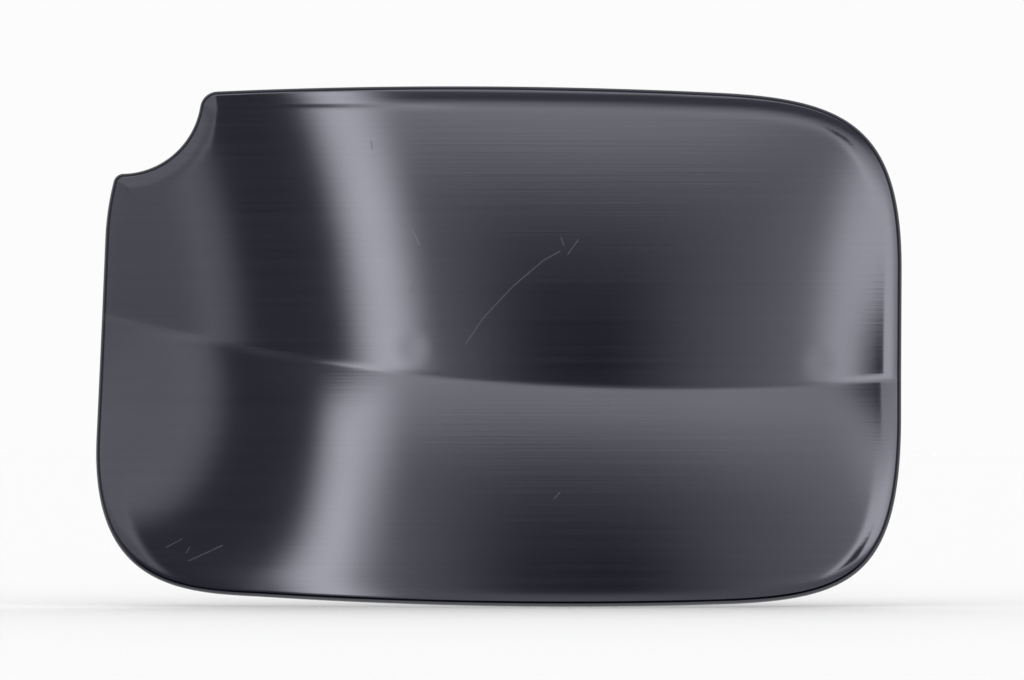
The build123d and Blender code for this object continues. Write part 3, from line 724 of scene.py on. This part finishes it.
def dentMask(tree):
    total = 0.0
    for x, z, depth in skinMarks["dents"]:
        centre = ((panel["centreX"] + x) * mm, 0.0, z * mm)
        node = placeGroup(tree, softDent, Centre=centre, Radius=skinMarks["dentRadius"] * mm)
        total = maths(tree, "MULTIPLY_ADD", node.outputs[0], depth, total)
    return total


def creaseHighlightMask(tree):
    # painted highlight: a pale line painted along the crease at the free end
    place = tree.nodes.new("ShaderNodeSeparateXYZ")
    tree.links.new(tree.nodes.new("ShaderNodeTexCoord").outputs["Object"], place.inputs[0])
    x = maths(tree, "MULTIPLY_ADD", place.outputs["X"], 1 / mm, -panel["centreX"])
    along = maths(tree, "SUBTRACT", x, pressing["Crease Low X"])
    inside = maths(tree, "SUBTRACT", pressing["Crease Bow"]**2, maths(tree, "MULTIPLY", along, along))
    lift = pressing["Crease Low Z"] + pressing["Crease Bow"]
    crease = maths(tree, "SUBTRACT", lift, maths(tree, "SQRT", inside))
    rise = maths(tree, "MULTIPLY_ADD", place.outputs["Z"], 1 / mm, maths(tree, "MULTIPLY", crease, -1.0))
    under, over = (ramp(tree, rise, *skinMarks[side]) for side in ("highlightUnder", "highlightOver"))
    line = maths(tree, "MULTIPLY", under, over)
    reach = ramp(tree, x, skinMarks["highlightFrom"], skinMarks["highlightFull"])
    return maths(tree, "MULTIPLY", line, reach)


def blackSkin():
    coat = skinCoat
    material, tree, shader = newMaterial("blackSkin", IOR=coat["ior"], Specular_Tint=coat["tint"])
    streak = placeGroup(tree, streaks, Along=12.0, Across=2200.0).outputs[0]
    broad = placeGroup(tree, streaks, Along=5.0, Across=500.0).outputs[0]
    cloud = placeGroup(tree, mottle, Size=45.0, Detail=4.0).outputs[0]
    dust = placeGroup(tree, specks, Spacing=160.0, Radius=0.07, Share=0.2).outputs[0]
    light = scratchMask(tree, skinMarks["light"])
    dark = scratchMask(tree, skinMarks["dark"])
    marks = maths(tree, "MAXIMUM", light, maths(tree, "MULTIPLY", dust, coat["dustShare"]))
    film = ramp(tree, maths(tree, "MULTIPLY_ADD", broad, 0.5, streak), coat["filmFrom"], coat["filmTo"])
    paint = mixColours(tree, coat["deep"], coat["film"], film)
    # scratches and dust are paler in the coat; the pale crease line is a painted highlight
    for mask, share in ((marks, coat["markShare"]), (creaseHighlightMask(tree), coat["creaseHighlightShare"])):
        paint = mixColours(tree, paint, coat["pale"], maths(tree, "MULTIPLY", mask, share))
    paint = mixColours(tree, paint, coat["dark"], dark)
    tree.links.new(paint, shader.inputs["Base Color"])
    rough = maths(tree, "MULTIPLY_ADD", cloud, coat["roughSpread"], coat["rough"])
    rough = maths(tree, "MULTIPLY_ADD", maths(tree, "MAXIMUM", marks, dark), coat["markRough"], rough)
    tree.links.new(rough, shader.inputs["Roughness"])
    height = maths(tree, "MULTIPLY_ADD", cloud, coat["cloudHeight"], streak)
    height = maths(tree, "SUBTRACT", height, dentMask(tree))
    addBump(tree, shader, height, coat["bump"])
    return material


def buildSkin():
    outline = panelOutline()
    rings = skinRings(outline)
    points = []
    for ring, depth in rings:
        points += [((panel["centreX"] + x) * mm, d * mm, z * mm) for (x, z), d in zip(ring, depth)]
    piece = meshObject("outerSkin", points, ringFaces(len(rings), len(outline)))
    values = {label: value if label in notLengths else value * mm for label, value in pressing.items()}
    values.update({"Panel X": panel["centreX"] * mm, "Crown Y": panel["crownY"] * mm})
    values["Half Width"] = panel["width"] / 2 * mm
    runTree(piece, pressTree(blackSkin()), values)
    tidyMesh(piece.data, hem["sharp"])
    settle(piece, "door", "outer_skin")
    low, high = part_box("outer_skin")
    spots = [vertex.co for vertex in piece.data.vertices]
    past = [max(low[i] - min(p[i] for p in spots), max(p[i] for p in spots) - high[i]) for i in range(3)]
    print("skin past its solid's box, mm:", [round(value / mm, 2) for value in past])
    print("skin pressed:", len(piece.data.polygons), "faces")


# Finishes of the parts behind the skin

def steelFinish(name, dark, light, rough, along, across, bump):
    material, tree, shader = newMaterial(name, Metallic=1.0)
    streak = placeGroup(tree, streaks, Along=along, Across=across).outputs[0]
    cloud = placeGroup(tree, mottle, Size=220.0, Detail=5.0).outputs[0]
    dust = placeGroup(tree, specks, Spacing=420.0, Radius=0.1, Share=0.25).outputs[0]
    blotch = ramp(tree, maths(tree, "MULTIPLY_ADD", streak, 0.4, cloud), 0.5, 0.9)
    colour = mixColours(tree, dark, light, blotch)
    grime = tuple(value * 0.4 for value in dark[:3]) + (1.0,)
    colour = mixColours(tree, colour, grime, maths(tree, "MULTIPLY", dust, 0.5))
    tree.links.new(colour, shader.inputs["Base Color"])
    tree.links.new(maths(tree, "MULTIPLY_ADD", blotch, -0.12, rough), shader.inputs["Roughness"])
    addBump(tree, shader, maths(tree, "MULTIPLY_ADD", cloud, 0.6, streak), bump)
    return material


def mattFinish(name, dark, light, rough, size, bump):
    material, tree, shader = newMaterial(name)
    cloud = placeGroup(tree, mottle, Size=size, Detail=5.0).outputs[0]
    fine = placeGroup(tree, mottle, Size=size * 14, Detail=2.0).outputs[0]
    dust = placeGroup(tree, specks, Spacing=300.0, Radius=0.09, Share=0.25).outputs[0]
    colour = mixColours(tree, dark, light, ramp(tree, cloud, 0.3, 0.7))
    pale = tuple(min(1.0, value * 1.5 + 0.02) for value in light[:3]) + (1.0,)
    colour = mixColours(tree, colour, pale, maths(tree, "MULTIPLY", dust, 0.4))
    tree.links.new(colour, shader.inputs["Base Color"])
    tree.links.new(maths(tree, "MULTIPLY_ADD", fine, 0.14, rough), shader.inputs["Roughness"])
    addBump(tree, shader, maths(tree, "MULTIPLY_ADD", cloud, 0.5, fine), bump)
    return material


blackPrimer = mattFinish("blackPrimer", dark=(0.014, 0.014, 0.016, 1.0), light=(0.026, 0.026, 0.029, 1.0),
                         rough=0.36, size=60.0, bump=0.00001)
zincSteel = steelFinish("zincSteel", dark=(0.42, 0.43, 0.44, 1.0), light=(0.66, 0.67, 0.68, 1.0),
                        rough=0.46, along=300.0, across=300.0, bump=0.000006)
brightSteel = steelFinish("brightSteel", dark=(0.52, 0.52, 0.52, 1.0), light=(0.7, 0.7, 0.7, 1.0),
                          rough=0.34, along=60.0, across=2400.0, bump=0.000004)
springSteel = steelFinish("springSteel", dark=(0.12, 0.12, 0.125, 1.0), light=(0.27, 0.27, 0.28, 1.0),
                          rough=0.42, along=200.0, across=900.0, bump=0.000004)
naturalPlastic = mattFinish("naturalPlastic", dark=(0.66, 0.63, 0.55, 1.0), light=(0.74, 0.72, 0.65, 1.0),
                            rough=0.36, size=120.0, bump=0.000006)
blackRubber = mattFinish("blackRubber", dark=(0.012, 0.012, 0.012, 1.0), light=(0.028, 0.028, 0.028, 1.0),
                         rough=0.66, size=160.0, bump=0.00002)


# Pieces taken over from the solid part, with their bends and edges eased, in millimetres
dressed = [
    dict(node="inner_panel", name="innerPanel", body="door",
         slot="black_primer", finish=blackPrimer, bend=0.5, edge=0.1),
    dict(node="hinge_arm", name="hingeArm", body="door",
         slot="zinc_steel", finish=zincSteel, bend=0.3, edge=0.25),
    dict(node="upper_bush", name="upperBush", body="door",
         slot="natural_plastic", finish=naturalPlastic, edge=0.2),
    dict(node="lower_bush", name="lowerBush", body="door",
         slot="natural_plastic", finish=naturalPlastic, edge=0.2),
    dict(node="hinge_bracket", name="hingeBracket", body="hinge_base",
         slot="zinc_steel", finish=zincSteel, bend=0.3, edge=0.25),
    dict(node="hinge_pin", name="hingePin", body="hinge_base",
         slot="bright_steel", finish=brightSteel, edge=0.12),
    dict(node="pin_washer", name="pinWasher", body="hinge_base",
         slot="bright_steel", finish=brightSteel, edge=0.12),
    dict(node="pin_clip", name="pinClip", body="hinge_base",
         slot="spring_steel", finish=springSteel, edge=0.12),
    dict(node="spring_sleeve", name="springSleeve", body="hinge_base",
         slot="natural_plastic", finish=naturalPlastic, edge=0.15),
]
easing = dict(
    bendFrom=24, bendTo=82, bendSegments=3,  # degrees between the two faces of a sheet's bend
    edgeFrom=40, edgeTo=180, edgeSegments=2,
    flat=0.8, merge=1e-6,                    # flat faces are joined before their edges are eased
)


def easeEdges(mesh, low, high, width, segments):
    work = bmesh.new()
    work.from_mesh(mesh)
    bmesh.ops.remove_doubles(work, verts=work.verts, dist=easing["merge"])
    bmesh.ops.dissolve_limit(work, angle_limit=math.radians(easing["flat"]), verts=work.verts, edges=work.edges)
    picked = []
    for edge in work.edges:
        if len(edge.link_faces) == 2 and math.radians(low) < edge.calc_face_angle(0) <= math.radians(high):
            picked.append(edge)
    bmesh.ops.bevel(work, geom=picked, offset=width * mm, offset_type="OFFSET", segments=segments,
                    profile=0.5, affect="EDGES", clamp_overlap=True)
    work.to_mesh(mesh)
    work.free()


def buildDressed():
    for item in dressed:
        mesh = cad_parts[item["node"]].data.copy()
        mesh.name = item["name"]
        mesh.materials.clear()
        mesh.materials.append(item["finish"])
        piece = bpy.data.objects.new(item["name"], mesh)
        scene.collection.objects.link(piece)
        if "bend" in item:
            easeEdges(mesh, easing["bendFrom"], easing["bendTo"], item["bend"], easing["bendSegments"])
        easeEdges(mesh, easing["edgeFrom"], easing["edgeTo"], item["edge"], easing["edgeSegments"])
        tidyMesh(mesh, easing["edgeFrom"], easing["merge"])
        settle(piece, item["body"], item["node"])
    print("dressed pieces:", len(dressed))


def lathe(profile, steps):
    # turns (radius, height) pairs about the Y axis; end points on the axis become single points
    points, faces, rows = [], [], []
    for radius, height in profile:
        if radius == 0:
            rows.append([len(points)] * steps)
            points.append((0.0, height * mm, 0.0))
            continue
        rows.append(list(range(len(points), len(points) + steps)))
        for step in range(steps):
            angle = 2 * math.pi * step / steps
            points.append((radius * math.cos(angle) * mm, height * mm, radius * math.sin(angle) * mm))
    for first, second in zip(rows, rows[1:]):
        for step in range(steps):
            after = (step + 1) % steps
            corners = [first[step], first[after], second[after], second[step]]
            faces.append(tuple(dict.fromkeys(corners)))
    return points, faces


# Rivets: a domed head on the arm, a shank and a closed head in the pan
rivets = dict(
    x=(-19.0, -3.0), z=(-10.0, 10.0), y=-35.4,
    profile=[                                # radius and height, from the dome's top to the closed head
        (0, 1.2), (0.9, 1.16), (1.8, 1.0), (2.6, 0.72), (3.1, 0.42), (3.36, 0.16), (3.4, 0.04), (3.3, 0),
        (2.05, 0), (2.0, -0.1), (2.0, -2.3), (2.9, -2.3), (3.0, -2.45), (2.95, -2.9), (2.6, -3.15),
        (1.6, -3.3), (0, -3.3),
    ],
    steps=40, sharp=50, seed=3,
)


def rivetTree(material):
    tree, start, end = newGroup("rivetSet", "GeometryNodeTree", [
        ("Geometry", "NodeSocketGeometry", None), ("Rivet", "NodeSocketObject", None),
    ], [("Geometry", "NodeSocketGeometry")])
    source = tree.nodes.new("GeometryNodeObjectInfo")
    tree.links.new(start.outputs["Rivet"], source.inputs["Object"])
    spread = tree.nodes.new("GeometryNodeInstanceOnPoints")
    turn = tree.nodes.new("FunctionNodeRandomValue")
    turn.data_type = "FLOAT_VECTOR"
    turn.inputs["Min"].default_value = (0.0, 0.0, 0.0)
    turn.inputs["Max"].default_value = (0.0, 6.28, 0.0)
    turn.inputs["Seed"].default_value = rivets["seed"]
    tree.links.new(start.outputs["Geometry"], spread.inputs["Points"])
    tree.links.new(source.outputs["Geometry"], spread.inputs["Instance"])
    tree.links.new(turn.outputs["Value"], spread.inputs["Rotation"])
    endTree(tree, spread.outputs[0], end, material)
    return tree


def buildRivets():
    source = meshObject("rivetSource", *lathe(rivets["profile"], rivets["steps"]))
    spots = [(x * mm, rivets["y"] * mm, z * mm) for x in rivets["x"] for z in rivets["z"]]
    piece = meshObject("armRivets", spots, [])
    runTree(piece, rivetTree(brightSteel), {"Rivet": source})
    bpy.data.objects.remove(source)
    tidyMesh(piece.data, rivets["sharp"])
    settle(piece, "door", "arm_rivets")
    print("rivets set:", len(spots))


# Closing spring: round wire along the coil and its two legs
spring = dict(
    pin=(13.0, -30.0), wire=0.7, mean=4.6, pitch=1.7, turns=2 + 290 / 360, lowZ=5.0,
    legIn=29.0, legOut=13.0, bend=1.8, topZ=19.3,
    turnPoints=36, bendPoints=10, sides=20, sharp=50,
)


def springPath():
    lead = math.atan2(spring["pitch"], 2 * math.pi * spring["mean"])
    pin = np.array([*spring["pin"], 0.0])
    turns = np.linspace(0, spring["turns"], round(spring["turnPoints"] * spring["turns"]) + 1)
    angles = math.pi + 2 * math.pi * turns
    coil = np.stack([np.cos(angles) * spring["mean"], np.sin(angles) * spring["mean"],
                     spring["lowZ"] + spring["pitch"] * turns], 1) + pin
    seat = coil[0] + np.array([0.0, spring["legIn"], -spring["legIn"] * math.tan(lead)])
    ahead = np.array([-math.sin(angles[-1]), math.cos(angles[-1]), 0.0])
    up = np.array([0.0, 0.0, 1.0])
    legEnd = coil[-1] + (ahead * math.cos(lead) + up * math.sin(lead)) * spring["legOut"]
    bend = []
    for angle in np.linspace(lead, math.pi / 2, spring["bendPoints"]):
        forward = (math.sin(angle) - math.sin(lead)) * spring["bend"]
        rise = (math.cos(lead) - math.cos(angle)) * spring["bend"]
        bend.append(legEnd + ahead * forward + up * rise)
    tip = np.array([bend[-1][0], bend[-1][1], spring["topZ"]])
    return [seat, *coil, *bend, tip]


def wireTree(material):
    tree, start, end = newGroup("roundWire", "GeometryNodeTree", [
        ("Geometry", "NodeSocketGeometry", None), ("Wire Radius", "NodeSocketFloat", 0.0),
        ("Sides", "NodeSocketInt", 8),
    ], [("Geometry", "NodeSocketGeometry")])
    path = tree.nodes.new("GeometryNodeMeshToCurve")
    ring = tree.nodes.new("GeometryNodeCurvePrimitiveCircle")
    tube = tree.nodes.new("GeometryNodeCurveToMesh")
    tube.inputs["Fill Caps"].default_value = True
    tree.links.new(start.outputs["Geometry"], path.inputs[0])
    tree.links.new(start.outputs["Wire Radius"], ring.inputs["Radius"])
    tree.links.new(start.outputs["Sides"], ring.inputs["Resolution"])
    tree.links.new(path.outputs[0], tube.inputs["Curve"])
    tree.links.new(ring.outputs[0], tube.inputs["Profile Curve"])
    endTree(tree, tube.outputs[0], end, material)
    return tree


def buildSpring():
    path = springPath()
    steps = [(i, i + 1) for i in range(len(path) - 1)]
    piece = meshObject("closingSpring", [p * mm for p in path], [], steps)
    runTree(piece, wireTree(springSteel), {"Wire Radius": spring["wire"] * mm, "Sides": spring["sides"]})
    tidyMesh(piece.data, spring["sharp"])
    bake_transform(piece)
    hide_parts("closing_spring")
    print("spring wound:", len(path), "path points")


# Rubber buffers: waisted plugs with a rounded crown and a barbed stem
buffer = dict(
    height=7.0, steps=72, sharp=50,
    profile=[                                # radius and height, from the stem's end to the crown
        (0, -3.9), (1.6, -3.9), (1.9, -3.75), (3.85, -1.0), (3.95, -0.82), (3.8, -0.7), (2.9, -0.7), (2.9, 0),
        (6.6, 0), (6.9, 0.12), (7.0, 0.4), (7.0, 2.3), (6.85, 2.55), (6.5, 2.75), (6.4, 3.0), (6.5, 3.25),
        (6.85, 3.45), (7.0, 3.7), (7.0, 5.5), (6.9, 6.05), (6.6, 6.5), (6.15, 6.82), (5.6, 6.97), (5.0, 7.0),
        (4.4, 6.95), (3.6, 6.75), (2.6, 6.55), (1.4, 6.45), (0, 6.42),
    ],
)


def buildBuffers():
    for name, node in (("upperBuffer", "upper_buffer"), ("lowerBuffer", "lower_buffer")):
        low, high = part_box(node)
        middle = (low + high) / 2
        points, faces = lathe(buffer["profile"], buffer["steps"])
        seat = Vector((middle.x, high.y - buffer["height"] * mm, middle.z))
        piece = meshObject(name, [Vector(p) + seat for p in points], faces)
        piece.data.materials.append(blackRubber)
        tidyMesh(piece.data, buffer["sharp"])
        settle(piece, "door", node)
    print("buffers fitted")


# Camera square on to the panel, image 1024 x 680
view = dict(
    imageWidth=1024, imageHeight=680,
    perPixel=0.2492,                         # millimetres
    centrePixel=(498.75, 346.2),             # where the panel's centre falls
    distance=3000.0, planeY=-42.0, sensor=36.0, clipEnd=50.0,
)
ground = dict(under=0.2, half=4000.0, tone=(0.97, 0.97, 0.97, 1.0), rough=0.9)


def buildCamera():
    data = bpy.data.cameras.new("camera")
    camera = bpy.data.objects.new("camera", data)
    scene.collection.objects.link(camera)
    x = panel["centreX"] + (view["imageWidth"] / 2 - view["centrePixel"][0]) * view["perPixel"]
    z = (view["centrePixel"][1] - view["imageHeight"] / 2) * view["perPixel"]
    camera.location = (x * mm, (view["planeY"] - view["distance"]) * mm, z * mm)
    camera.rotation_euler = (math.radians(90), 0, 0)
    data.sensor_width = view["sensor"]
    data.lens = data.sensor_width * view["distance"] / (view["imageWidth"] * view["perPixel"])
    data.clip_end = view["clipEnd"]
    scene.camera = camera


def buildFloor():
    half, z = ground["half"] * mm, cadBox[0][2] - ground["under"] * mm
    corners = [(x * half, y * half, z) for x, y in ((-1, -1), (1, -1), (1, 1), (-1, 1))]
    floor = meshObject("floor", corners, [(0, 1, 2, 3)])
    paleFloor = newMaterial("paleFloor", Base_Color=ground["tone"], Roughness=ground["rough"])[0]
    floor.data.materials.append(paleFloor)
    floor.visible_glossy = False             # shiny faces mirror the cards below the horizon too


scene.view_settings.view_transform = "Standard"
buildStudio()
buildCamera()
buildFloor()
buildSkin()
buildDressed()
buildRivets()
buildSpring()
buildBuffers()
